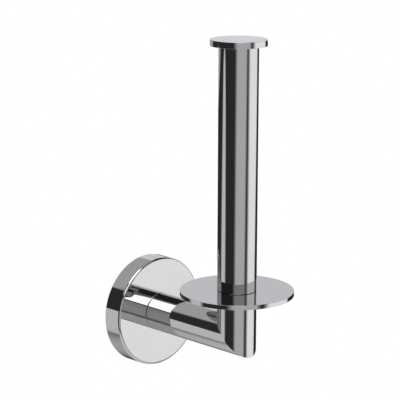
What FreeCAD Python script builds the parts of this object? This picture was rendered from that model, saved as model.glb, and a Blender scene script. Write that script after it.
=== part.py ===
import FreeCAD, Part
import math
import os

# Wall holder for one spare toilet roll, in chrome-plated brass.
# A round rosette hides a cast bracket that is screwed to the wall. A tube runs out of the
# rosette and turns up through a mitre. A round plate on the upright carries the roll, and
# a capped post of the same tube stands inside the roll's core.
# The wall is the plane y = 0, the arm runs out along -Y and the post stands along +Z.
# The origin is where the arm's axis meets the wall. All lengths are in millimetres.

# Tube of the arm, the upright and the post
tube_diameter = 20.0
tube_wall = 1.5
tube_edge_radius = 0.5
post_edge_radius = 0.2

# Rosette: a cup with its open side to the wall
rosette_diameter = 58.3
rosette_depth = 11.0
rosette_side_wall = 3.0
rosette_front_wall = 3.0
rosette_edge_radius = 1.2

# Reach of the arm from the wall to the post's axis, and the clear lengths of the two uprights
arm_reach = 68.0
upright_rise = 11.45
post_length = 124.3

# Round plate under the roll, with a shallow recess for the foot plug, and the shadow gap
# that this plug leaves between the plate and the post's tube
plate_diameter = 58.0
plate_thickness = 2.25
plate_edge_radius = 0.15
plate_recess_depth = 0.1
foot_gap = 0.2

# Cap with its own threaded spigot
cap_diameter = 28.5
cap_thickness = 3.15
cap_edge_radius = 0.15
cap_thread_diameter = 8.0
cap_thread_length = 10.0

# Bracket on the wall, with two countersunk slots for wall screws and two cored pockets
bracket_bore = 14.0
bracket_setback = 1.5
bracket_web = 2.5
bracket_pocket_floor = 2.5
bracket_pocket_angle = 76.0
bracket_edge_chamfer = 0.4
groove_depth = 1.6
wall_slot_width = 4.5
wall_slot_length = 7.0
wall_head_width = 8.4

# M4 set screw under the rosette, its cone point in the bracket's groove
set_screw_diameter = 4.0
set_screw_tip_diameter = 0.6
set_screw_recess = 0.45
set_screw_socket = 2.0
set_screw_socket_depth = 1.5
set_screw_tip_gap = 0.1

# M6 screw with a button head and a split washer, which holds the arm to the rosette
arm_screw_diameter = 6.0
arm_screw_length = 16.0
arm_head_diameter = 10.5
arm_head_height = 3.3
arm_head_edge_radius = 1.6
arm_screw_socket = 4.0
arm_screw_socket_depth = 2.0
washer_diameter = 11.8
washer_thickness = 1.5
washer_slit = 0.8

# Pin that stops the arm from turning on the rosette
index_pin_diameter = 2.5
index_pin_length = 6.0
index_pin_recess = 0.5

# Brass plugs soldered into the tube ends, and the M8 stud that clamps the plate
arm_plug_length = 16.0
elbow_plug_margin = 0.4
foot_plug_length = 16.0
top_plug_length = 14.0
stud_diameter = 8.0
stud_engagement = 10.0
thread_end_chamfer = 0.6

# Radial clearances of the fits
solder_gap = 0.05
thread_clearance = 0.05
pin_clearance = 0.02
hole_clearance = 0.2
foot_clearance = 0.1
bracket_clearance = 0.25

# Sizes and places that follow from the ones above
tube_radius = tube_diameter / 2
bore_radius = tube_radius - tube_wall
plug_radius = bore_radius - solder_gap
rosette_radius = rosette_diameter / 2
rosette_bore_radius = rosette_radius - rosette_side_wall
rosette_inner_depth = rosette_depth - rosette_front_wall
bracket_radius = rosette_bore_radius - bracket_clearance
bracket_thickness = rosette_inner_depth - bracket_setback
groove_radius = bracket_radius - groove_depth
wall_slot_offset = (bracket_bore / 2 + groove_radius) / 2
set_screw_radius = set_screw_diameter / 2
set_screw_out = bracket_thickness / 2
arm_screw_radius = arm_screw_diameter / 2
index_pin_radius = index_pin_diameter / 2
index_pin_height = (arm_screw_radius + plug_radius) / 2
plate_bottom = tube_radius + upright_rise
plate_top = plate_bottom + plate_thickness
plug_seat = plate_top - plate_recess_depth
post_bottom = plate_top + foot_gap
post_top = plate_top + post_length
stud_radius = stud_diameter / 2

OUTWARD = FreeCAD.Vector(0, -1, 0)
WALLWARD = FreeCAD.Vector(0, 1, 0)
SIDEWAYS = FreeCAD.Vector(1, 0, 0)
UPWARD = FreeCAD.Vector(0, 0, 1)
DOWNWARD = FreeCAD.Vector(0, 0, -1)
SAME_PLACE = 1e-6


def on_arm(distance, height=0.0):
    """Point at a distance from the wall, on the arm's axis or at a height above it."""
    return FreeCAD.Vector(0, -distance, height)


def on_post(height):
    """Point on the post's axis, at a height above the arm's axis."""
    return FreeCAD.Vector(0, -arm_reach, height)


def cut_all(solid, tools):
    for tool in tools:
        solid = solid.cut(tool)
    return solid


def rim(solid, centre, radius):
    """The round edges of a solid that lie on one circle."""
    edges = []
    for edge in solid.Edges:
        circle = edge.Curve
        if not isinstance(circle, Part.Circle):
            continue
        if circle.Center.isEqual(centre, SAME_PLACE) and abs(circle.Radius - radius) < SAME_PLACE:
            edges.append(edge)
    return edges


def hexagon_prism(across_flats, depth, base, direction):
    """Prism for a hexagon socket, sunk from its base along a direction."""
    corner_radius = across_flats / math.sqrt(3)
    corners = []
    for side in range(7):
        angle = math.radians(60 * side)
        corners.append(FreeCAD.Vector(corner_radius * math.cos(angle), corner_radius * math.sin(angle), 0))
    prism = Part.Face(Part.makePolygon(corners)).extrude(FreeCAD.Vector(0, 0, depth))
    prism.Placement = FreeCAD.Placement(base, FreeCAD.Rotation(UPWARD, direction))
    return prism


def tapped_plug(length, base, direction, thread_radius):
    """Brass plug for the tube's bore, tapped right through."""
    plug = Part.makeCylinder(plug_radius, length, base, direction)
    thread = Part.makeCylinder(thread_radius + thread_clearance, length, base, direction)
    return plug.cut(thread)


def rosette():
    cup = Part.makeCylinder(rosette_radius, rosette_depth, on_arm(0), OUTWARD)
    cup = cup.makeFillet(rosette_edge_radius, rim(cup, on_arm(rosette_depth), rosette_radius))
    hollow = Part.makeCylinder(rosette_bore_radius, rosette_inner_depth, on_arm(0), OUTWARD)
    screw_hole = Part.makeCylinder(arm_screw_radius + hole_clearance, rosette_depth, on_arm(0), OUTWARD)
    pin_hole = Part.makeCylinder(
        index_pin_radius + pin_clearance, rosette_depth, on_arm(0, index_pin_height), OUTWARD)
    set_screw_hole = Part.makeCylinder(
        set_screw_radius + thread_clearance, rosette_radius, on_arm(set_screw_out), DOWNWARD)
    return cut_all(cup, [hollow, screw_hole, pin_hole, set_screw_hole])


def slot_outline(width, length, side, out):
    """Round-ended slot outline, lying along X and centred to one side of the arm's axis."""
    end_radius = width / 2
    straight = length / 2 - end_radius
    centre = FreeCAD.Vector(side, -out, 0)
    right_top = centre + SIDEWAYS * straight + UPWARD * end_radius
    right_end = centre + SIDEWAYS * (straight + end_radius)
    right_low = centre + SIDEWAYS * straight - UPWARD * end_radius
    left_low = centre - SIDEWAYS * straight - UPWARD * end_radius
    left_end = centre - SIDEWAYS * (straight + end_radius)
    left_top = centre - SIDEWAYS * straight + UPWARD * end_radius
    return Part.Wire([
        Part.makeLine(left_top, right_top),
        Part.Arc(right_top, right_end, right_low).toShape(),
        Part.makeLine(right_low, left_low),
        Part.Arc(left_low, left_end, left_top).toShape(),
    ])


def wall_slot(side):
    """Slot for a wall screw, countersunk at 90 degrees on the room side."""
    slot = Part.Face(slot_outline(wall_slot_width, wall_slot_length, side, 0))
    slot = slot.extrude(OUTWARD * bracket_thickness)
    head_overhang = wall_head_width - wall_slot_width
    sink_depth = head_overhang / 2
    sink_length = wall_slot_length + head_overhang
    sink = Part.makeLoft([
        slot_outline(wall_slot_width, wall_slot_length, side, bracket_thickness - sink_depth),
        slot_outline(wall_head_width, sink_length, side, bracket_thickness),
    ], True, True)
    return slot.fuse(sink)


def bracket_pocket(middle_angle):
    """Pocket cored into the bracket's wall side, at an angle from +X towards +Z."""
    depth = bracket_thickness - bracket_pocket_floor
    axis_end = on_arm(0)
    outer = Part.makeCylinder(groove_radius - bracket_web, depth, axis_end, UPWARD, bracket_pocket_angle)
    inner = Part.makeCylinder(bracket_bore / 2 + bracket_web, depth, axis_end, UPWARD)
    pocket = outer.cut(inner)
    pocket.rotate(axis_end, UPWARD, middle_angle - bracket_pocket_angle / 2)
    pocket.rotate(axis_end, SIDEWAYS, 90)
    return pocket


def wall_bracket():
    plate = Part.makeCylinder(bracket_radius, bracket_thickness, on_arm(0), OUTWARD)
    plate = plate.makeChamfer(bracket_edge_chamfer, rim(plate, on_arm(bracket_thickness), bracket_radius))
    bore = Part.makeCylinder(bracket_bore / 2, bracket_thickness, on_arm(0), OUTWARD)
    flank = Part.makePolygon([
        on_arm(set_screw_out - groove_depth, bracket_radius),
        on_arm(set_screw_out, groove_radius),
        on_arm(set_screw_out + groove_depth, bracket_radius),
        on_arm(set_screw_out - groove_depth, bracket_radius),
    ])
    groove = Part.Face(flank).revolve(on_arm(0), OUTWARD, 360)
    slots = [wall_slot(-wall_slot_offset), wall_slot(wall_slot_offset)]
    pockets = [bracket_pocket(90), bracket_pocket(270)]
    return cut_all(plate, [bore, groove] + slots + pockets)


def set_screw():
    tip_radius = set_screw_tip_diameter / 2
    tip_height = -(groove_radius + tip_radius + set_screw_tip_gap)
    end_height = set_screw_recess - rosette_radius
    cone_length = set_screw_radius - tip_radius
    shank_length = tip_height - cone_length - end_height
    end = on_arm(set_screw_out, end_height)
    shank = Part.makeCylinder(set_screw_radius, shank_length, end, UPWARD)
    cone_base = on_arm(set_screw_out, end_height + shank_length)
    cone = Part.makeCone(set_screw_radius, tip_radius, cone_length, cone_base, UPWARD)
    socket = hexagon_prism(set_screw_socket, set_screw_socket_depth, end, UPWARD)
    return shank.fuse(cone).removeSplitter().cut(socket)


def mitre_block(away):
    """Block with one face on the mitre, on the side that a direction points to."""
    reach = 2 * tube_diameter
    slope = (UPWARD + WALLWARD).normalize() * reach
    depth = away.normalize() * reach
    middle = on_post(0) - SIDEWAYS * reach
    corners = [middle - slope, middle + slope, middle + slope + depth, middle - slope + depth]
    face = Part.Face(Part.makePolygon(corners + corners[:1]))
    return face.extrude(SIDEWAYS * (2 * reach))


def arm_tube():
    length = arm_reach + tube_radius - rosette_depth
    start = on_arm(rosette_depth)
    tube = Part.makeCylinder(tube_radius, length, start, OUTWARD)
    tube = tube.makeFillet(tube_edge_radius, rim(tube, start, tube_radius))
    bore = Part.makeCylinder(bore_radius, length, start, OUTWARD)
    return cut_all(tube, [bore, mitre_block(UPWARD + OUTWARD)])


def elbow_tube():
    length = plate_bottom + tube_radius
    start = on_post(-tube_radius)
    tube = Part.makeCylinder(tube_radius, length, start, UPWARD)
    tube = tube.makeFillet(tube_edge_radius, rim(tube, on_post(plate_bottom), tube_radius))
    bore = Part.makeCylinder(bore_radius, length, start, UPWARD)
    return cut_all(tube, [bore, mitre_block(DOWNWARD + WALLWARD)])


def arm_plug():
    plug = tapped_plug(arm_plug_length, on_arm(rosette_depth), OUTWARD, arm_screw_radius)
    pin_end = rosette_inner_depth + index_pin_recess + index_pin_length
    pin_hole = Part.makeCylinder(
        index_pin_radius + pin_clearance, pin_end, on_arm(0, index_pin_height), OUTWARD)
    return plug.cut(pin_hole)


def arm_screw():
    seat = rosette_inner_depth - washer_thickness
    head_radius = arm_head_diameter / 2
    head = Part.makeCylinder(head_radius, arm_head_height, on_arm(seat), WALLWARD)
    head_top = on_arm(seat - arm_head_height)
    head = head.makeFillet(arm_head_edge_radius, rim(head, head_top, head_radius))
    shank = Part.makeCylinder(arm_screw_radius, arm_screw_length, on_arm(seat), OUTWARD)
    shank_end = on_arm(seat + arm_screw_length)
    shank = shank.makeChamfer(thread_end_chamfer, rim(shank, shank_end, arm_screw_radius))
    socket = hexagon_prism(arm_screw_socket, arm_screw_socket_depth, head_top, OUTWARD)
    return head.fuse(shank).cut(socket)


def lock_washer():
    base = on_arm(rosette_inner_depth)
    ring = Part.makeCylinder(washer_diameter / 2, washer_thickness, base, WALLWARD)
    hole = Part.makeCylinder(arm_screw_radius + hole_clearance, washer_thickness, base, WALLWARD)
    corner = base - SIDEWAYS * (washer_slit / 2) + DOWNWARD * washer_diameter
    slit = Part.makeBox(washer_slit, washer_thickness, washer_diameter, corner)
    return cut_all(ring, [hole, slit])


def index_pin():
    start = on_arm(rosette_inner_depth + index_pin_recess, index_pin_height)
    return Part.makeCylinder(index_pin_radius, index_pin_length, start, OUTWARD)


def elbow_plug():
    length = plate_bottom - bore_radius - elbow_plug_margin
    return tapped_plug(length, on_post(plate_bottom), DOWNWARD, stud_radius)


def roll_plate():
    radius = plate_diameter / 2
    plate = Part.makeCylinder(radius, plate_thickness, on_post(plate_bottom), UPWARD)
    edges = rim(plate, on_post(plate_bottom), radius) + rim(plate, on_post(plate_top), radius)
    plate = plate.makeFillet(plate_edge_radius, edges)
    stud_hole = Part.makeCylinder(
        stud_radius + hole_clearance, plate_thickness, on_post(plate_bottom), UPWARD)
    recess = Part.makeCylinder(
        tube_radius + foot_clearance, plate_recess_depth, on_post(plug_seat), UPWARD)
    return cut_all(plate, [stud_hole, recess])


def tie_stud():
    low = plate_bottom - stud_engagement
    high = plug_seat + stud_engagement
    stud = Part.makeCylinder(stud_radius, high - low, on_post(low), UPWARD)
    ends = rim(stud, on_post(low), stud_radius) + rim(stud, on_post(high), stud_radius)
    return stud.makeChamfer(thread_end_chamfer, ends)


def post_tube():
    length = post_top - post_bottom
    tube = Part.makeCylinder(tube_radius, length, on_post(post_bottom), UPWARD)
    ends = rim(tube, on_post(post_bottom), tube_radius) + rim(tube, on_post(post_top), tube_radius)
    tube = tube.makeFillet(post_edge_radius, ends)
    bore = Part.makeCylinder(bore_radius, length, on_post(post_bottom), UPWARD)
    return tube.cut(bore)


def foot_plug():
    return tapped_plug(foot_plug_length, on_post(plug_seat), UPWARD, stud_radius)


def top_plug():
    return tapped_plug(top_plug_length, on_post(post_top), DOWNWARD, cap_thread_diameter / 2)


def cap():
    radius = cap_diameter / 2
    disc = Part.makeCylinder(radius, cap_thickness, on_post(post_top), UPWARD)
    edges = rim(disc, on_post(post_top), radius) + rim(disc, on_post(post_top + cap_thickness), radius)
    disc = disc.makeFillet(cap_edge_radius, edges)
    spigot_radius = cap_thread_diameter / 2
    spigot = Part.makeCylinder(spigot_radius, cap_thread_length, on_post(post_top), DOWNWARD)
    spigot_end = on_post(post_top - cap_thread_length)
    spigot = spigot.makeChamfer(thread_end_chamfer, rim(spigot, spigot_end, spigot_radius))
    return disc.fuse(spigot)


pieces = [
    rosette, wall_bracket, set_screw, arm_tube, elbow_tube, arm_plug, arm_screw, lock_washer,
    index_pin, elbow_plug, roll_plate, tie_stud, post_tube, foot_plug, top_plug, cap,
]

os.makedirs("parts", exist_ok=True)
for piece in pieces:
    solids = piece().Solids
    assert len(solids) == 1, piece.__name__ + " is not one solid"
    assert solids[0].isValid(), piece.__name__ + " is not valid"
    solids[0].exportStep("parts/" + piece.__name__ + ".step")
    print(piece.__name__, "volume", round(solids[0].Volume, 1), "mm3")
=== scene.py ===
import bmesh
import bpy
import math
from mathutils import Matrix, Vector


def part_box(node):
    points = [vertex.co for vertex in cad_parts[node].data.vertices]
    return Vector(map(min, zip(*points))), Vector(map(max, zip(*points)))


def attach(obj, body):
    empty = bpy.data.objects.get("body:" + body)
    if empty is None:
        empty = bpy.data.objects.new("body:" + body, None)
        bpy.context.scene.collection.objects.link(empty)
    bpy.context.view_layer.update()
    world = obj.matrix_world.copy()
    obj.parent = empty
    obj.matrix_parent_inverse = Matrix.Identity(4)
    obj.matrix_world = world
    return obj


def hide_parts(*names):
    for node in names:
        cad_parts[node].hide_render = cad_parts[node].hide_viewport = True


# Wall holder for one spare toilet roll, in chrome-plated brass: a round rosette on a hidden bracket,
# a mitred tube arm, a round plate and an upright post with a flat cap. All lengths are in metres.
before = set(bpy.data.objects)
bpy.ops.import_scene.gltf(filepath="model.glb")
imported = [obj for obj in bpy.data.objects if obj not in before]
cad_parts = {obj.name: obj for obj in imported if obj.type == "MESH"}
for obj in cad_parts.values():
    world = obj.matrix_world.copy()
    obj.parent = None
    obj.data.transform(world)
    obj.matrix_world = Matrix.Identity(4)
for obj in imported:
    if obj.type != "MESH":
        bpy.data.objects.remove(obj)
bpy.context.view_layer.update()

# Wall bracket
# A round plate die-cast in zinc alloy, screwed to the wall through two countersunk slots. A groove
# round its edge takes the set screw's point, and two pockets in its back save metal.
MM = 0.001
bracket_low, bracket_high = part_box("wall_bracket")
bracket_radius = (bracket_high.x - bracket_low.x) / 2
bracket_front = bracket_low.y
bracket_sides = 160
bracket_bore = 7 * MM
bore_sides = 96
bracket_chamfer = 0.4 * MM
groove_out = bracket_front / 2
groove_depth = 1.6 * MM
slot_radius = 2.25 * MM
slot_head_radius = 4.2 * MM
slot_stretch = 1.25 * MM
slot_offset = 15.65 * MM
slot_sides = 48
pocket_inner = 9.5 * MM
pocket_outer = 21.65 * MM
pocket_depth = 4 * MM
pocket_half_angle = math.radians(38)
pocket_sides = 128
cast_edge = 0.25 * MM
cutter_overrun = 1 * MM
# How close counts as being at a place, as lying flush and as lying on a cutting plane.
NEAR = 0.02 * MM
FLUSH = 0.002 * MM
HAIR = 0.0001 * MM


def select_only(piece):
    bpy.ops.object.select_all(action="DESELECT")
    piece.select_set(True)
    bpy.context.view_layer.objects.active = piece


def open_for_edit(piece):
    select_only(piece)
    bpy.ops.object.mode_set(mode="EDIT")


def close_edit():
    bpy.ops.object.mode_set(mode="OBJECT")


def add_round(foot, head, radius, sides, head_radius=None, ends="NGON"):
    """Round bar between two points on its axis, tapered where the head has its own radius."""
    along = Vector(head) - Vector(foot)
    bpy.ops.mesh.primitive_cone_add(
        vertices=sides, radius1=radius, radius2=radius if head_radius is None else head_radius,
        depth=along.length, end_fill_type=ends, location=(Vector(foot) + Vector(head)) / 2,
        rotation=along.to_track_quat("Z", "Y").to_euler())


def bar(name, foot, head, radius, sides, head_radius=None, ends="NGON"):
    """New piece that starts as a round bar, its place in its mesh."""
    bpy.ops.object.select_all(action="DESELECT")
    add_round(foot, head, radius, sides, head_radius, ends)
    piece = bpy.context.object
    piece.name = name
    piece.data.name = name
    bpy.ops.object.transform_apply(location=True, rotation=True, scale=True)
    return piece


def pick_edges(test):
    """Select the edges of the piece in hand whose two ends both pass a test of place."""
    bpy.ops.mesh.select_mode(type="EDGE")
    bpy.ops.mesh.select_all(action="DESELECT")
    mesh = bmesh.from_edit_mesh(bpy.context.object.data)
    for edge in mesh.edges:
        if all(test(corner.co) for corner in edge.verts):
            edge.select_set(True)
    bmesh.update_edit_mesh(bpy.context.object.data)


def bevel_edges(test, width, steps=1):
    """Chamfer the edges that pass a test of place, or round them off in several steps."""
    pick_edges(test)
    bpy.ops.mesh.bevel(offset=width, segments=steps, affect="EDGES")


def pick_faces(test):
    """Select the faces of the piece in hand whose middle and normal pass a test."""
    bpy.ops.mesh.select_mode(type="FACE")
    bpy.ops.mesh.select_all(action="DESELECT")
    mesh = bmesh.from_edit_mesh(bpy.context.object.data)
    for face in mesh.faces:
        if test(face.calc_center_median(), face.normal):
            face.select_set(True)
    bmesh.update_edit_mesh(bpy.context.object.data)


def cut(piece, tool, operation="DIFFERENCE"):
    """Machine a piece with a tool, which is used up."""
    select_only(piece)
    step = piece.modifiers.new("cut", "BOOLEAN")
    step.operation = operation
    step.solver = "EXACT"
    step.object = tool
    bpy.ops.object.modifier_apply(modifier=step.name)
    bpy.data.objects.remove(tool, do_unlink=True)


def soften_edges(piece, width, steps=2, sharp_angle=40):
    """Round off every sharp edge of a piece, once the close corners that cutting leaves are merged."""
    open_for_edit(piece)
    bpy.ops.mesh.select_all(action="SELECT")
    close_corners = width / 5
    bpy.ops.mesh.remove_doubles(threshold=close_corners)
    close_edit()
    step = piece.modifiers.new("soft edges", "BEVEL")
    step.width = width
    step.segments = steps
    step.limit_method = "ANGLE"
    step.angle_limit = math.radians(sharp_angle)
    bpy.ops.object.modifier_apply(modifier=step.name)


def even_shading(piece, sharp_angle=35):
    """Smooth shading that keeps flats flat and edges sharp, once the slivers of cutting are gone."""
    open_for_edit(piece)
    bpy.ops.mesh.select_all(action="SELECT")
    bpy.ops.mesh.dissolve_degenerate(threshold=FLUSH)
    close_edit()
    bpy.ops.object.shade_smooth_by_angle(angle=math.radians(sharp_angle))
    step = piece.modifiers.new("even shading", "WEIGHTED_NORMAL")
    step.keep_sharp = True
    bpy.ops.object.modifier_apply(modifier=step.name)


def pipe(name, foot, head, radius, bore, sides, mitre=None):
    """Tube with flat ring ends, or with a mitre (a point and the direction cut away) at its head."""
    piece = bar(name, foot, head, radius, sides, ends="NOTHING")
    open_for_edit(piece)
    bpy.ops.mesh.select_all(action="DESELECT")
    add_round(foot, head, bore, sides, ends="NOTHING")
    bpy.ops.mesh.flip_normals()
    along = (Vector(head) - Vector(foot)).normalized()
    ends = [(Vector(foot), along), (Vector(head), along)]
    if mitre:
        bpy.ops.mesh.select_all(action="SELECT")
        bpy.ops.mesh.bisect(plane_co=mitre[0], plane_no=mitre[1], clear_outer=True, threshold=HAIR)
        ends[1] = mitre
    for point, normal in ends:
        pick_edges(lambda spot: abs((spot - point).dot(normal)) < FLUSH)
        bpy.ops.mesh.bridge_edge_loops()
    close_edit()
    return piece


def pocket_cutter(side):
    """Arc-shaped core for a pocket above (1) or below (-1) the middle."""
    core = pipe("pocket_core", (0, cutter_overrun, 0), (0, -pocket_depth, 0), pocket_outer, pocket_inner,
                pocket_sides)
    open_for_edit(core)
    lean, rise = math.cos(pocket_half_angle), math.sin(pocket_half_angle)
    for normal in ((lean, 0, -rise * side), (-lean, 0, -rise * side)):
        bpy.ops.mesh.select_all(action="SELECT")
        bpy.ops.mesh.bisect(plane_co=(0, 0, 0), plane_no=normal, use_fill=True, clear_outer=True)
    close_edit()
    return core


def slot_cutter(side, foot_out, head_out, radius, head_radius):
    """Round-ended slot, stretched sideways from a round bar."""
    tool = bar("slot_tool", (side, foot_out, 0), (side, head_out, 0), radius, slot_sides, head_radius)
    for way in (1, -1):
        open_for_edit(tool)
        bpy.ops.mesh.select_mode(type="VERT")
        bpy.ops.mesh.select_all(action="DESELECT")
        mesh = bmesh.from_edit_mesh(tool.data)
        for corner in mesh.verts:
            if (corner.co.x - side) * way > NEAR:
                corner.select_set(True)
        bmesh.update_edit_mesh(tool.data)
        bpy.ops.transform.translate(value=(way * slot_stretch, 0, 0))
        close_edit()
    return tool


bracket = bar("cast_bracket", (0, 0, 0), (0, bracket_front, 0), bracket_radius, bracket_sides)
open_for_edit(bracket)
for place in (groove_out - groove_depth, groove_out, groove_out + groove_depth):
    bpy.ops.mesh.select_all(action="SELECT")
    bpy.ops.mesh.bisect(plane_co=(0, place, 0), plane_no=(0, 1, 0))
pick_edges(lambda spot: abs(spot.y - groove_out) < NEAR)
narrow = 1 - groove_depth / bracket_radius
bpy.ops.transform.resize(value=(narrow, 1, narrow), center_override=(0, groove_out, 0))
bevel_edges(lambda spot: abs(spot.y - bracket_front) < NEAR, bracket_chamfer)
close_edit()
tool_end = bracket_front - cutter_overrun
cut(bracket, bar("bore_tool", (0, cutter_overrun, 0), (0, tool_end, 0), bracket_bore, bore_sides))
sink_start = bracket_front + slot_head_radius - slot_radius
sink_flare = slot_head_radius + cutter_overrun
for side in (-slot_offset, slot_offset):
    cut(bracket, slot_cutter(side, cutter_overrun, tool_end, slot_radius, slot_radius))
    cut(bracket, slot_cutter(side, sink_start, tool_end, slot_radius, sink_flare))
for side in (1, -1):
    cut(bracket, pocket_cutter(side))
soften_edges(bracket, cast_edge)
even_shading(bracket)


def new_finish(name):
    """Empty material and its parts."""
    finish = bpy.data.materials.new(name)
    finish.use_nodes = True
    tree = finish.node_tree
    return finish, tree.nodes, tree.links, tree.nodes["Principled BSDF"]


def noise_value(nodes, links, place, scale, detail):
    """Noise over the piece, as a value from 0 to 1, at a scale that another node gives."""
    texture = nodes.new("ShaderNodeTexNoise")
    texture.inputs["Detail"].default_value = detail
    links.new(place, texture.inputs["Vector"])
    links.new(scale, texture.inputs["Scale"])
    return texture.outputs["Fac"]


def spread(nodes, links, value, low, high, start=0.3, end=0.7):
    """Turn a value between start and end, such as noise, into one between low and high."""
    ramp = nodes.new("ShaderNodeMapRange")
    ramp.inputs["From Min"].default_value = start
    ramp.inputs["From Max"].default_value = end
    ramp.inputs["To Min"].default_value = low
    ramp.inputs["To Max"].default_value = high
    links.new(value, ramp.inputs["Value"])
    return ramp.outputs["Result"]


def make_metal_grain():
    """Group for every metal: clouded colour, uneven roughness and a fine surface height."""
    cloud_detail = 3
    grain_detail = 2
    cloud_share = 0.6
    group = bpy.data.node_groups.new("metal_grain", "ShaderNodeTree")
    face = group.interface
    for name, kind in (("Colour", "NodeSocketColor"), ("Roughness", "NodeSocketFloat"),
                       ("Height", "NodeSocketFloat")):
        face.new_socket(name, in_out="OUTPUT", socket_type=kind)
    for name, kind in (("Light Colour", "NodeSocketColor"), ("Dark Colour", "NodeSocketColor"),
                       ("Cloud Scale", "NodeSocketFloat"), ("Grain Scale", "NodeSocketFloat"),
                       ("Smoothest", "NodeSocketFloat"), ("Roughest", "NodeSocketFloat")):
        face.new_socket(name, in_out="INPUT", socket_type=kind)
    nodes, links = group.nodes, group.links
    given = nodes.new("NodeGroupInput")
    result = nodes.new("NodeGroupOutput")
    place = nodes.new("ShaderNodeTexCoord").outputs["Object"]
    cloud = noise_value(nodes, links, place, given.outputs["Cloud Scale"], cloud_detail)
    grain = noise_value(nodes, links, place, given.outputs["Grain Scale"], grain_detail)
    clouded = spread(nodes, links, cloud, 0, 1)
    colour = nodes.new("ShaderNodeMix")
    colour.data_type = "RGBA"
    links.new(clouded, colour.inputs["Factor"])
    links.new(given.outputs["Light Colour"], colour.inputs["A"])
    links.new(given.outputs["Dark Colour"], colour.inputs["B"])
    links.new(colour.outputs["Result"], result.inputs["Colour"])
    both = nodes.new("ShaderNodeMath")
    both.operation = "ADD"
    links.new(spread(nodes, links, cloud, 0, cloud_share), both.inputs[0])
    links.new(spread(nodes, links, grain, 0, 1 - cloud_share), both.inputs[1])
    rough = nodes.new("ShaderNodeMapRange")
    links.new(both.outputs["Value"], rough.inputs["Value"])
    links.new(given.outputs["Smoothest"], rough.inputs["To Min"])
    links.new(given.outputs["Roughest"], rough.inputs["To Max"])
    links.new(rough.outputs["Result"], result.inputs["Roughness"])
    links.new(grain, result.inputs["Height"])
    return group


metal_grain = make_metal_grain()


def metal_finish(name, light, dark, cloud_scale, grain_scale, roughness, grain_height, edge_tint=1):
    """Metal whose colour, roughness and grain all vary over the surface."""
    finish, nodes, links, shader = new_finish(name)
    shader.inputs["Specular Tint"].default_value = (edge_tint, edge_tint, edge_tint, 1)
    grain = nodes.new("ShaderNodeGroup")
    grain.node_tree = metal_grain
    grain.inputs["Light Colour"].default_value = (*light, 1)
    grain.inputs["Dark Colour"].default_value = (*dark, 1)
    grain.inputs["Cloud Scale"].default_value = cloud_scale
    grain.inputs["Grain Scale"].default_value = grain_scale
    grain.inputs["Smoothest"].default_value = roughness[0]
    grain.inputs["Roughest"].default_value = roughness[1]
    shader.inputs["Metallic"].default_value = 1
    links.new(grain.outputs["Colour"], shader.inputs["Base Color"])
    links.new(grain.outputs["Roughness"], shader.inputs["Roughness"])
    bump = nodes.new("ShaderNodeBump")
    bump.inputs["Distance"].default_value = grain_height
    links.new(grain.outputs["Height"], bump.inputs["Height"])
    links.new(bump.outputs["Normal"], shader.inputs["Normal"])
    return finish


def dress(piece, finish):
    piece.data.materials.clear()
    piece.data.materials.append(finish)


cast_zinc = metal_finish(
    "cast_zinc", light=(0.5, 0.51, 0.53), dark=(0.38, 0.39, 0.41), cloud_scale=220, grain_scale=2600,
    roughness=(0.38, 0.6), grain_height=0.05 * MM)
dress(bracket, cast_zinc)
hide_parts("wall_bracket")
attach(bracket, "holder")

# Rosette
# A round cup pressed and turned in brass, polished and chrome plated, pushed over the bracket. Its front
# edge is rounded by polishing, and a countersunk hole underneath leads to the set screw.
rosette_low, rosette_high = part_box("rosette")
rosette_radius = (rosette_high.x - rosette_low.x) / 2
rosette_front = rosette_low.y
rosette_wall = 3 * MM
rosette_face = 3 * MM
rosette_floor = rosette_front + rosette_face
rosette_edge = 1.2 * MM
rosette_edge_steps = 12
rim_edge = 0.2 * MM
rim_edge_steps = 3
screw_hole = 3.2 * MM
hole_sides = 48
pin_hole = 1.27 * MM
pin_hole_sides = 32
pin_height = 5.725 * MM
set_screw_hole = 2.05 * MM
set_screw_sink = 0.35 * MM
rosette_sides = 256
FACING = 0.99

rosette = bar("chrome_rosette", (0, 0, 0), (0, rosette_front, 0), rosette_radius, rosette_sides)
open_for_edit(rosette)
pick_faces(lambda middle, normal: normal.y > FACING)
bpy.ops.mesh.inset(thickness=rosette_wall)
bpy.ops.mesh.extrude_region_move(TRANSFORM_OT_translate={"value": (0, rosette_floor, 0)})
bevel_edges(lambda spot: abs(spot.y - rosette_front) < NEAR, rosette_edge, rosette_edge_steps)
bevel_edges(lambda spot: abs(spot.y) < NEAR, rim_edge, rim_edge_steps)
close_edit()
through = ((0, rosette_floor + cutter_overrun, 0), (0, rosette_front - cutter_overrun, 0))
cut(rosette, bar("screw_tool", *through, screw_hole, hole_sides))
lifted = [Vector(spot) + Vector((0, 0, pin_height)) for spot in through]
cut(rosette, bar("pin_tool", *lifted, pin_hole, pin_hole_sides))
below = -rosette_radius - cutter_overrun
inside = -rosette_radius + rosette_wall + cutter_overrun
cut(rosette, bar("set_screw_tool", (0, groove_out, inside), (0, groove_out, below), set_screw_hole,
                 hole_sides))
sink_top = -rosette_radius + set_screw_sink
sink_mouth = set_screw_hole + set_screw_sink + cutter_overrun
cut(rosette, bar("sink_tool", (0, groove_out, sink_top), (0, groove_out, below), set_screw_hole,
                 hole_sides, sink_mouth))
even_shading(rosette)

chrome_plate = metal_finish(
    "chrome_plate", light=(0.555, 0.561, 0.559), dark=(0.535, 0.542, 0.541), cloud_scale=60,
    grain_scale=700, roughness=(0.015, 0.04), grain_height=0.00002 * MM, edge_tint=0.8)
dress(rosette, chrome_plate)
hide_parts("rosette")
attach(rosette, "holder")

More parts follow.
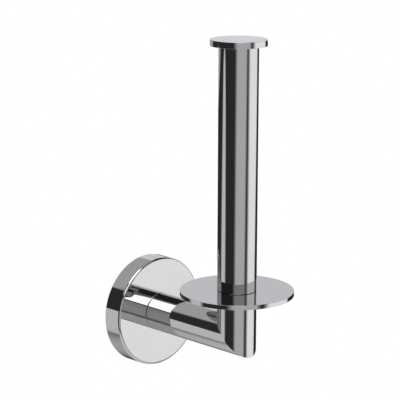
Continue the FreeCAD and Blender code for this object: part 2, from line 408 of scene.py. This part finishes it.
# Arm and elbow
# Two lengths of brass tube, mitred at 45 degrees, brazed and ground flush before plating, so that only a
# crease shows. The arm's square end stands on the rosette and the elbow's carries the plate.
arm_low, arm_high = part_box("arm_tube")
elbow_low, elbow_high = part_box("elbow_tube")
tube_radius = (arm_high.x - arm_low.x) / 2
tube_wall = 1.5 * MM
tube_bore = tube_radius - tube_wall
tube_edge = 0.5 * MM
edge_steps = 5
tube_sides = 192
post_out = (elbow_high.y + elbow_low.y) / 2
mitre_point = Vector((0, post_out, 0))
past_arm = Vector((0, -1, 1)).normalized()


def on_post(height):
    """Point on the post's axis."""
    return Vector((0, post_out, height))


def from_arm(point):
    """Distance from the arm's axis."""
    return math.hypot(point.x, point.z)


def from_post(point):
    """Distance from the post's axis."""
    return math.hypot(point.x, point.y - post_out)


arm = pipe("chrome_arm", (0, arm_high.y, 0), (0, arm_low.y, 0), tube_radius, tube_bore, tube_sides,
           (mitre_point, past_arm))
open_for_edit(arm)
bevel_edges(lambda spot: abs(spot.y - arm_high.y) < NEAR and from_arm(spot) > tube_bore + NEAR,
            tube_edge, edge_steps)
close_edit()
elbow = pipe("chrome_elbow", on_post(elbow_high.z), on_post(elbow_low.z), tube_radius, tube_bore,
             tube_sides, (mitre_point, -past_arm))
open_for_edit(elbow)
bevel_edges(lambda spot: abs(spot.z - elbow_high.z) < NEAR and from_post(spot) > tube_bore + NEAR,
            tube_edge, edge_steps)
close_edit()
for piece, node in ((arm, "arm_tube"), (elbow, "elbow_tube")):
    even_shading(piece)
    dress(piece, chrome_plate)
    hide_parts(node)
    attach(piece, "holder")

# Arm screw and washer
# A steel button-head screw and a split spring washer inside the rosette, which pull the arm's plug
# against it. The thread is rolled, the head is upset round a hexagon socket, and the washer is coiled
# from wire.
screw_low, screw_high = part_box("arm_screw")
washer_low, washer_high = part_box("lock_washer")
screw_radius = 3 * MM
screw_pitch = 1 * MM
screw_end_chamfer = 0.6 * MM
screw_head_radius = 5.25 * MM
screw_head_round = 1.6 * MM
screw_head_steps = 8
screw_head_sides = 96
screw_socket = 4 * MM
screw_socket_depth = 2 * MM
socket_sides = 6
washer_radius = (washer_high.x - washer_low.x) / 2
washer_sides = 96
washer_slit = 0.8 * MM
slit_tool_depth = 4 * washer_slit
washer_edge = 0.12 * MM
thread_sides = 48
depth_per_pitch = 0.61
land_per_pitch = 0.125
flank_per_pitch = 0.3125
spare_turns = 2
blank_margin = 0.2 * MM


def threaded_rod(name, foot, head, radius, pitch, foot_chamfer, head_chamfer):
    """Rod with a real thread, trimmed to a chamfered blank: one turn's profile, wound up its axis."""
    foot, head = Vector(foot), Vector(head)
    along = head - foot
    depth = depth_per_pitch * pitch
    land = land_per_pitch * pitch
    flank = flank_per_pitch * pitch
    bpy.ops.object.select_all(action="DESELECT")
    bpy.ops.mesh.primitive_plane_add(size=pitch)
    rod = bpy.context.object
    rod.name = name
    rod.data.name = name
    open_for_edit(rod)
    bpy.ops.mesh.select_mode(type="VERT")
    bpy.ops.mesh.select_all(action="SELECT")
    bpy.ops.mesh.merge(type="CENTER")
    bpy.ops.transform.translate(value=(radius - depth, 0, -spare_turns * pitch))
    for out, up in ((0, land), (depth, flank), (0, land), (-depth, flank), (0, land)):
        bpy.ops.mesh.extrude_vertices_move(TRANSFORM_OT_translate={"value": (out, 0, up)})
    close_edit()
    winding = rod.modifiers.new("thread", "SCREW")
    winding.screw_offset = pitch
    winding.iterations = math.ceil(along.length / pitch) + spare_turns + 1
    winding.steps = winding.render_steps = thread_sides
    bpy.ops.object.modifier_apply(modifier=winding.name)
    open_for_edit(rod)
    bpy.ops.mesh.select_all(action="SELECT")
    bpy.ops.mesh.remove_doubles(threshold=FLUSH)
    bpy.ops.mesh.fill_holes(sides=0)
    bpy.ops.mesh.select_all(action="SELECT")
    bpy.ops.mesh.normals_make_consistent(inside=False)
    close_edit()
    rod.location = foot
    rod.rotation_euler = along.to_track_quat("Z", "Y").to_euler()
    bpy.ops.object.transform_apply(location=True, rotation=True, scale=True)
    blank = bar("blank", foot, head, radius + blank_margin, 2 * thread_sides)
    open_for_edit(blank)
    for end, chamfer in ((foot, foot_chamfer), (head, head_chamfer)):
        if chamfer:
            bevel_edges(lambda spot: abs((spot - end).dot(along)) < FLUSH * along.length,
                        chamfer + blank_margin)
    close_edit()
    cut(rod, blank, "INTERSECT")
    return rod


def sink_socket(piece, mouth, inward, across_flats, depth):
    """Sink a hexagon socket into a piece, from its mouth."""
    overrun = Vector(inward) * cutter_overrun
    cut(piece, bar("socket_tool", Vector(mouth) - overrun, Vector(mouth) + Vector(inward) * depth,
                   across_flats / math.sqrt(3), socket_sides))


screw_seat = washer_high.y
arm_screw = threaded_rod("steel_arm_screw", (0, screw_seat + cutter_overrun, 0), (0, screw_low.y, 0),
                         screw_radius, screw_pitch, 0, screw_end_chamfer)
button = bar("button", (0, screw_seat, 0), (0, screw_high.y, 0), screw_head_radius, screw_head_sides)
open_for_edit(button)
bevel_edges(lambda spot: abs(spot.y - screw_high.y) < NEAR, screw_head_round, screw_head_steps)
close_edit()
cut(arm_screw, button, "UNION")
sink_socket(arm_screw, (0, screw_high.y, 0), (0, -1, 0), screw_socket, screw_socket_depth)
washer = pipe("spring_washer", (0, washer_high.y, 0), (0, washer_low.y, 0), washer_radius, screw_hole,
              washer_sides)
bpy.ops.mesh.primitive_cube_add(size=1, location=(0, (washer_low.y + washer_high.y) / 2, -washer_radius),
                                scale=(washer_slit, slit_tool_depth, 2 * washer_radius))
bpy.ops.object.transform_apply(location=True, rotation=True, scale=True)
cut(washer, bpy.context.object)
soften_edges(washer, washer_edge)
machined_steel = metal_finish(
    "machined_steel", light=(0.62, 0.62, 0.62), dark=(0.5, 0.5, 0.51), cloud_scale=200, grain_scale=2400,
    roughness=(0.22, 0.4), grain_height=0.008 * MM)
for piece, node in ((arm_screw, "arm_screw"), (washer, "lock_washer")):
    even_shading(piece)
    dress(piece, machined_steel)
    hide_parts(node)
    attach(piece, "holder")

# Roll plate
# A disc of brass sheet with polished edges, chrome plated. A shallow turned recess seats the plug in the
# post's foot, and the stud that clamps elbow, plate and post together passes through its middle.
plate_low, plate_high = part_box("roll_plate")
plate_radius = (plate_high.x - plate_low.x) / 2
plate_edge = 0.08 * MM
plate_edge_steps = 4
recess_margin = 0.1 * MM
recess_radius = tube_radius + recess_margin
recess_depth = 0.1 * MM
stud_hole = 4.2 * MM
plate_sides = 256

plate = bar("chrome_roll_plate", on_post(plate_low.z), on_post(plate_high.z), plate_radius, plate_sides)
open_for_edit(plate)
for level in (plate_high.z, plate_low.z):
    bevel_edges(lambda spot: abs(spot.z - level) < NEAR, plate_edge, plate_edge_steps)
pick_faces(lambda middle, normal: normal.z > FACING and from_post(middle) < NEAR)
bpy.ops.mesh.inset(thickness=plate_radius - plate_edge - recess_radius)
bpy.ops.mesh.extrude_region_move(TRANSFORM_OT_translate={"value": (0, 0, -recess_depth)})
bpy.ops.mesh.inset(thickness=recess_radius - stud_hole)
pick_faces(lambda middle, normal: normal.z < -FACING and from_post(middle) < NEAR)
bpy.ops.mesh.inset(thickness=plate_radius - plate_edge - stud_hole)
pick_faces(lambda middle, normal: abs(normal.z) > FACING and from_post(middle) < NEAR)
bpy.ops.mesh.bridge_edge_loops()
close_edit()
even_shading(plate)
dress(plate, chrome_plate)
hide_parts("roll_plate")
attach(plate, "holder")

# Post
# The same brass tube cut square at both ends, polished and plated. The plug in its foot stands on the
# plate and leaves a hairline shadow gap under the tube, and the cap lies on its top.
post_low, post_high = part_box("post_tube")
post_edge = 0.06 * MM
post = pipe("chrome_post", on_post(post_low.z), on_post(post_high.z), tube_radius, tube_bore, tube_sides)
open_for_edit(post)
for end in (post_low.z, post_high.z):
    bevel_edges(lambda spot: abs(spot.z - end) < NEAR and from_post(spot) > tube_bore + NEAR,
                post_edge, edge_steps)
close_edit()
even_shading(post)
dress(post, chrome_plate)
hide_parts("post_tube")
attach(post, "holder")

# Stud
# A length of threaded steel rod through the plate's middle, screwed into the elbow's plug and the post's
# foot plug, so that turning the post clamps all three.
stud_low, stud_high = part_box("tie_stud")
stud_radius = (stud_high.x - stud_low.x) / 2
stud_pitch = 1.25 * MM
stud_chamfer = 0.6 * MM
stud = threaded_rod("steel_stud", on_post(stud_low.z), on_post(stud_high.z), stud_radius, stud_pitch,
                    stud_chamfer, stud_chamfer)
even_shading(stud)
dress(stud, machined_steel)
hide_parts("tie_stud")
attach(stud, "holder")

# Cap
# A flat brass disc turned in one piece with the threaded spigot that screws into the post's top plug,
# its edges rounded by polishing, chrome plated.
cap_low, cap_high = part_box("cap")
cap_radius = (cap_high.x - cap_low.x) / 2
cap_edge = 0.08 * MM
spigot_radius = 4 * MM
spigot_pitch = 1.25 * MM
spigot_chamfer = 0.6 * MM

cap = bar("chrome_cap", on_post(post_high.z), on_post(cap_high.z), cap_radius, tube_sides)
open_for_edit(cap)
for level in (post_high.z, cap_high.z):
    bevel_edges(lambda spot: abs(spot.z - level) < NEAR, cap_edge, edge_steps)
close_edit()
cut(cap, threaded_rod("spigot", on_post(post_high.z + cutter_overrun), on_post(cap_low.z), spigot_radius,
                      spigot_pitch, 0, spigot_chamfer), "UNION")
even_shading(cap)
dress(cap, chrome_plate)
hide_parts("cap")
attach(cap, "holder")

# Plugs and pin
# Brass plugs turned to the tube's bore and soldered in, and a steel dowel pin that keeps the arm from
# turning on the rosette. Tubes and rosette hide all of them but a hairline of the foot plug.
turned_brass = metal_finish(
    "turned_brass", light=(0.8, 0.6, 0.3), dark=(0.68, 0.48, 0.22), cloud_scale=150, grain_scale=1800,
    roughness=(0.2, 0.38), grain_height=0.01 * MM)
for name in ("arm_plug", "elbow_plug", "foot_plug", "top_plug"):
    dress(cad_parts[name], turned_brass)
dress(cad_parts["index_pin"], machined_steel)

# Set screw
# A steel grub screw with a cone point and a hexagon socket, under the rosette. Its point draws the
# rosette against the wall in the bracket's groove, and backing it out frees the holder.
grub_low, grub_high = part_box("set_screw")
grub_radius = (grub_high.x - grub_low.x) / 2
grub_pitch = 0.7 * MM
grub_end_chamfer = 0.3 * MM
grub_tip_radius = 0.3 * MM
grub_socket = 2 * MM
grub_socket_depth = 1.5 * MM
grub = threaded_rod("steel_set_screw", (0, groove_out, grub_low.z), (0, groove_out, grub_high.z),
                    grub_radius, grub_pitch, grub_end_chamfer, grub_radius - grub_tip_radius)
sink_socket(grub, (0, groove_out, grub_low.z), (0, 0, 1), grub_socket, grub_socket_depth)
even_shading(grub)
dress(grub, machined_steel)
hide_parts("set_screw")
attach(grub, "set_screw")

# Studio
# A dark room, hidden from the camera, with bent papers round the object that the metal mirrors: white
# paper behind, grey papers on the left and in front, black flags, a low light card, floor shades, a light
# panel on the right, softboxes in front and above, a grey ceiling and a pale ground. All of them glow with
# their own painted light rather than being lit: some grow brighter or darker with height, and the ground's
# glow is a painted pool of light that darkens outwards.
camera_turn = math.radians(-44.64)
front_angle = camera_turn - math.pi / 2
drum_middle = Vector((0, -0.06, 0))
room_radius = 2.3
room_height = 1.9
ground_height = -1.05
ground_lift = 0.01
overhead_height = 1.75
ceiling_height = 1.85
ceiling_radius = 1.2
round_sides = 96
card_columns = 48
flag_black = (0.037, 0.037, 0.037)
card_grey = (0.5, 0.5, 0.5)
paper_grey = (0.56, 0.56, 0.565)
softbox_white = (3.3, 3.3, 3.3)

scene = bpy.context.scene
scene.view_settings.view_transform = "Standard"
world = bpy.data.worlds.new("white_room")
world.use_nodes = True
world.node_tree.nodes["Background"].inputs["Color"].default_value = (1, 1, 1, 1)
world.node_tree.nodes["Background"].inputs["Strength"].default_value = 1
scene.world = world


def glowing_paper(name, colour):
    """Paper that gives its own even light, and its parts."""
    paper = bpy.data.materials.new(name)
    paper.use_nodes = True
    nodes, links = paper.node_tree.nodes, paper.node_tree.links
    nodes.clear()
    out = nodes.new("ShaderNodeOutputMaterial")
    glow = nodes.new("ShaderNodeEmission")
    glow.inputs["Color"].default_value = (*colour, 1)
    links.new(glow.outputs["Emission"], out.inputs["Surface"])
    return paper, nodes, links, glow, out


def smooth_step(nodes, links, value, start, end, low=0, high=1):
    """Value that goes smoothly from low to high between two places."""
    step = spread(nodes, links, value, low, high, start, end)
    step.node.interpolation_type = "SMOOTHSTEP"
    return step


def card_paper(name, colour, soft_left, soft_right, melt=None, fade=None):
    """Glowing paper whose sides melt away, over shares of its width. It may also melt between two heights
    at its foot, and change its light between two heights to a share of what it was."""
    paper, nodes, links, glow, out = glowing_paper(name, colour)
    places = nodes.new("ShaderNodeTexCoord")
    across = nodes.new("ShaderNodeSeparateXYZ")
    links.new(places.outputs["UV"], across.inputs["Vector"])
    height = nodes.new("ShaderNodeSeparateXYZ")
    links.new(places.outputs["Object"], height.inputs["Vector"])
    masks = [smooth_step(nodes, links, across.outputs["X"], 0, soft_left),
             smooth_step(nodes, links, across.outputs["X"], 1, 1 - soft_right)]
    if melt:
        masks.append(smooth_step(nodes, links, height.outputs["Z"], *melt))
    mask = masks[0]
    for other in masks[1:]:
        both = nodes.new("ShaderNodeMath")
        both.operation = "MULTIPLY"
        links.new(mask, both.inputs[0])
        links.new(other, both.inputs[1])
        mask = both.outputs["Value"]
    clear = nodes.new("ShaderNodeBsdfTransparent")
    mix = nodes.new("ShaderNodeMixShader")
    links.new(mask, mix.inputs["Fac"])
    links.new(clear.outputs["BSDF"], mix.inputs[1])
    links.new(glow.outputs["Emission"], mix.inputs[2])
    links.new(mix.outputs["Shader"], out.inputs["Surface"])
    if fade:
        start, end, end_level = fade
        level = smooth_step(nodes, links, height.outputs["Z"], start, end, 1, end_level)
        links.new(level, glow.inputs["Strength"])
    return paper


def hang(card, name, paper):
    """Put up a card in its paper, hidden from the camera and without a shadow."""
    card.name = name
    dress(card, paper)
    card.visible_camera = False
    card.visible_shadow = False


def round_about(distance, angle, height):
    """Point at an angle from the camera's side, positive to the right, in degrees."""
    turn = front_angle + math.radians(angle)
    return drum_middle + Vector((distance * math.cos(turn), distance * math.sin(turn), height))


def curved_card(name, distance, rows, colour, soft=(0.5, 0.5), melt=None, fade=None):
    """Card bent round the object, given as rows of its height and of its left and right angles. Its sides
    are soft over some degrees."""
    bpy.ops.object.select_all(action="DESELECT")
    bpy.ops.mesh.primitive_grid_add(x_subdivisions=card_columns, y_subdivisions=len(rows) - 1, size=1)
    card = bpy.context.object
    for corner in card.data.vertices:
        height, left, right = rows[round((corner.co.y + 0.5) * (len(rows) - 1))]
        left, right = left - soft[0] / 2, right + soft[1] / 2
        corner.co = round_about(distance, left + (right - left) * (corner.co.x + 0.5), height)
    foot_width = rows[0][2] - rows[0][1]
    head_width = rows[-1][2] - rows[-1][1]
    width = (foot_width + head_width) / 2
    hang(card, name, card_paper(name, colour, soft[0] / width, soft[1] / width, melt, fade))


def overhead_card(name, left, right, near, far, paper):
    """Level card above the object, between two places across it and two along the arm."""
    bpy.ops.object.select_all(action="DESELECT")
    bpy.ops.mesh.primitive_plane_add(
        size=1, location=((left + right) / 2, (near + far) / 2, overhead_height))
    bpy.ops.transform.resize(value=(right - left, far - near, 1))
    bpy.ops.object.transform_apply(location=True, rotation=True, scale=True)
    hang(bpy.context.object, name, paper)


def round_paper(name, radius, height, paper):
    """Level round paper under or over the object."""
    bpy.ops.object.select_all(action="DESELECT")
    bpy.ops.mesh.primitive_circle_add(vertices=round_sides, radius=radius, fill_type="NGON",
                                      location=(0, drum_middle.y, height))
    bpy.ops.object.transform_apply(location=True, rotation=True, scale=True)
    hang(bpy.context.object, name, paper)


room = bar("dark_room", (0, drum_middle.y, ground_height - ground_lift), (0, drum_middle.y, room_height),
           room_radius, round_sides)
hang(room, "dark_room", glowing_paper("dark_room", flag_black)[0])
curved_card("back_paper", distance=1.58, rows=[(-0.05, 145, 189), (0.62, 145, 189)],
            colour=(1.0, 1.01, 1.065), soft=(3, 8), fade=(0.37, 0.46, 0.915))
curved_card("back_paper_top", distance=1.57, rows=[(0.5, 145, 189), (0.85, 145, 189)],
            colour=(1.27, 1.285, 1.357), soft=(3, 8), melt=(0.5, 0.68))
curved_card("left_grey_paper", distance=1.62, rows=[(-0.2, -176, -100), (1.8, -176, -100)],
            colour=paper_grey, soft=(6, 6))
curved_card("low_black_flag", distance=1.5,
            rows=[(-0.9, -178, -10), (-0.14, -178, -10), (-0.08, -133, -10), (-0.02, -122, -10)],
            colour=flag_black, soft=(6, 6))
curved_card("tall_black_flag", distance=1.51, rows=[(-0.06, -106, 0), (0.8, -105, 0)],
            colour=flag_black, soft=(6, 6))
curved_card("upper_left_grey_card", distance=1.6,
            rows=[(0.9, -93, -70), (1.05, -93, -12), (1.8, -93, -12)],
            colour=card_grey, soft=(6, 6))
curved_card("low_light_card", distance=1.3,
            rows=[(-0.865, -112, -72), (-0.4, -112, -72), (-0.25, -108.5, -72.5), (-0.11, -101, -76.7),
                  (-0.05, -96.8, -81.6), (-0.03, -92.6, -84.8), (-0.024, -89, -88)],
            colour=(0.79, 0.79, 0.79), soft=(7, 5))
curved_card("front_dark_strip", distance=1.35, rows=[(-1.04, -25, 100), (-0.5, -25, 100)],
            colour=(0.21, 0.21, 0.21), soft=(6, 6), melt=(-1.04, -0.82))
curved_card("right_floor_shade", distance=0.8, rows=[(-1.04, 100, 170), (-0.55, 100, 170)],
            colour=(0.25, 0.25, 0.25), soft=(10, 10))
curved_card("front_grey_paper", distance=1.3,
            rows=[(-0.75, -15.5, 42), (-0.4, -15.5, 42.5), (-0.11, -15, 47), (-0.03, -14.8, 48),
                  (0.48, -22, 47)],
            colour=(0.64, 0.64, 0.64), soft=(16, 13), melt=(-0.75, -0.55), fade=(0, 0.35, 0.86))
curved_card("right_light_panel", distance=1.3,
            rows=[(-0.52, 59, 116), (-0.4, 59, 119), (-0.3, 60, 122), (-0.11, 60.5, 129), (-0.03, 60, 130),
                  (0.4, 56.5, 125), (0.7, 56.5, 125)],
            colour=(1.26, 1.265, 1.26), soft=(16, 10), fade=(0.38, 0.62, 0.025))
curved_card("front_softbox", distance=1.3,
            rows=[(0.58, -3, 18), (0.94, -3, 21), (1.24, -3, 30), (1.38, -3, 42), (1.42, -3, 48),
                  (1.5, -3, 48)],
            colour=softbox_white)
overhead_card("overhead_softbox", left=-1.2, right=0.2, near=-1.55, far=0.45,
              paper=card_paper("overhead_softbox", softbox_white, soft_left=0.01, soft_right=0.35))
overhead_card("overhead_grey_card", left=-1.2, right=0.2, near=0.45, far=1.1,
              paper=glowing_paper("overhead_grey_card", paper_grey)[0])
round_paper("ceiling_paper", ceiling_radius, ceiling_height, glowing_paper("ceiling_paper", card_grey)[0])

# The ground's glow is a painted pool of light: brightest round a point near the holder, darker outwards.
ground_middle = round_about(distance=0.35, angle=35, height=ground_height)
light_pool_radii = (1.0, 2.15)
light_pool_levels = (0.86, 0.1)
ground_paper, nodes, links, glow, out = glowing_paper("ground_paper", (1, 1, 1))
place = nodes.new("ShaderNodeTexCoord")
from_middle = nodes.new("ShaderNodeVectorMath")
from_middle.operation = "DISTANCE"
from_middle.inputs[1].default_value = ground_middle
links.new(place.outputs["Object"], from_middle.inputs[0])
ground_glow = smooth_step(nodes, links, from_middle.outputs["Value"], *light_pool_radii, *light_pool_levels)
links.new(ground_glow, glow.inputs["Strength"])
round_paper("ground_paper", room_radius, ground_height, ground_paper)

# Floor
# A plain pale floor well below the holder. It is plain white where the camera or the polished metal looks
# at it, so that the picture's ground stays white.
floor_height = -1.1
floor_size = 8
floor_grey = (0.8, 0.8, 0.8, 1)
floor_roughness = 0.9
bpy.ops.object.select_all(action="DESELECT")
bpy.ops.mesh.primitive_plane_add(size=floor_size, location=(0, 0, floor_height))
floor = bpy.context.object
floor.name = "floor"
bpy.ops.object.transform_apply(location=True, rotation=True, scale=True)
floor_paper, nodes, links, matt = new_finish("floor_paper")
matt.inputs["Base Color"].default_value = floor_grey
matt.inputs["Roughness"].default_value = floor_roughness
light_path = nodes.new("ShaderNodeLightPath")
seen = light_path.outputs["Is Camera Ray"]
for ray in ("Is Glossy Ray", "Is Transmission Ray"):
    either = nodes.new("ShaderNodeMath")
    either.operation = "MAXIMUM"
    links.new(seen, either.inputs[0])
    links.new(light_path.outputs[ray], either.inputs[1])
    seen = either.outputs["Value"]
white = nodes.new("ShaderNodeEmission")
white.inputs["Color"].default_value = (1, 1, 1, 1)
white.inputs["Strength"].default_value = 1
floor_mix = nodes.new("ShaderNodeMixShader")
links.new(seen, floor_mix.inputs["Fac"])
links.new(matt.outputs["BSDF"], floor_mix.inputs[1])
links.new(white.outputs["Emission"], floor_mix.inputs[2])
links.new(floor_mix.outputs["Shader"], nodes["Material Output"].inputs["Surface"])
dress(floor, floor_paper)

# Camera
# A long lens a little above the holder and to its left, about 0.8 metres away, with the frame's middle on
# the lens axis.
camera_place = Vector((-0.57316, -0.62162, 0.25199))
camera_rise = math.radians(12.85)
camera_roll = math.radians(0.17)
focal_length = 146.9
sensor_width = 36
lens = bpy.data.cameras.new("camera")
lens.lens = focal_length
lens.sensor_width = sensor_width
camera = bpy.data.objects.new("camera", lens)
scene.collection.objects.link(camera)
camera.matrix_world = (
    Matrix.Translation(camera_place) @ Matrix.Rotation(camera_turn, 4, "Z")
    @ Matrix.Rotation(math.pi / 2 - camera_rise, 4, "X") @ Matrix.Rotation(camera_roll, 4, "Z"))
scene.camera = camera
